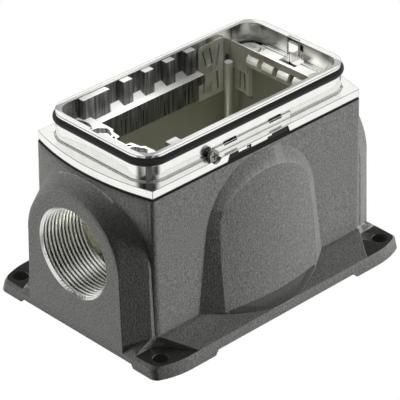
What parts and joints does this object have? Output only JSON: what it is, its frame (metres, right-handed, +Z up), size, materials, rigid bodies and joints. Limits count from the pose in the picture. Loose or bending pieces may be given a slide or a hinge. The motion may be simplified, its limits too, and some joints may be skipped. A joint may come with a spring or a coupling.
{
  "type": "heavy duty rectangular connector",
  "caption": "Surface-mounted rectangular connector housing: cast base box with a threaded side cable entry, arched bosses and ears, and a bright frame with a sealed collar.",
  "frame": {"origin": "centre of the mounting pattern, on the ground under the feet", "axes": "+Z up out of the collar, X along the long side with the cable entry at -X, Y across"},
  "size_m": [0.114, 0.0814, 0.0704],
  "materials": {
    "paint": "fine textured powder coat",
    "bare": "satin",
    "rubber": "smooth",
    "strip": "moulded",
    "steel": "zinc plated",
    "spring": "plated spring sheet"
  },
  "bodies": {
    "root": {"base_housing": "paint", "frame_gasket": "rubber", "bulkhead_frame": "bare", "collar_seal": "rubber", "frame_screws": "steel", "side_screw": "steel", "lock_strip": "strip", "end_plate": "spring", "window_fingers": "spring", "side_spring": "spring", "end_spring": "spring", "spring_rivet": "steel", "contact_post": "steel"}
  },
  "joints": []
}
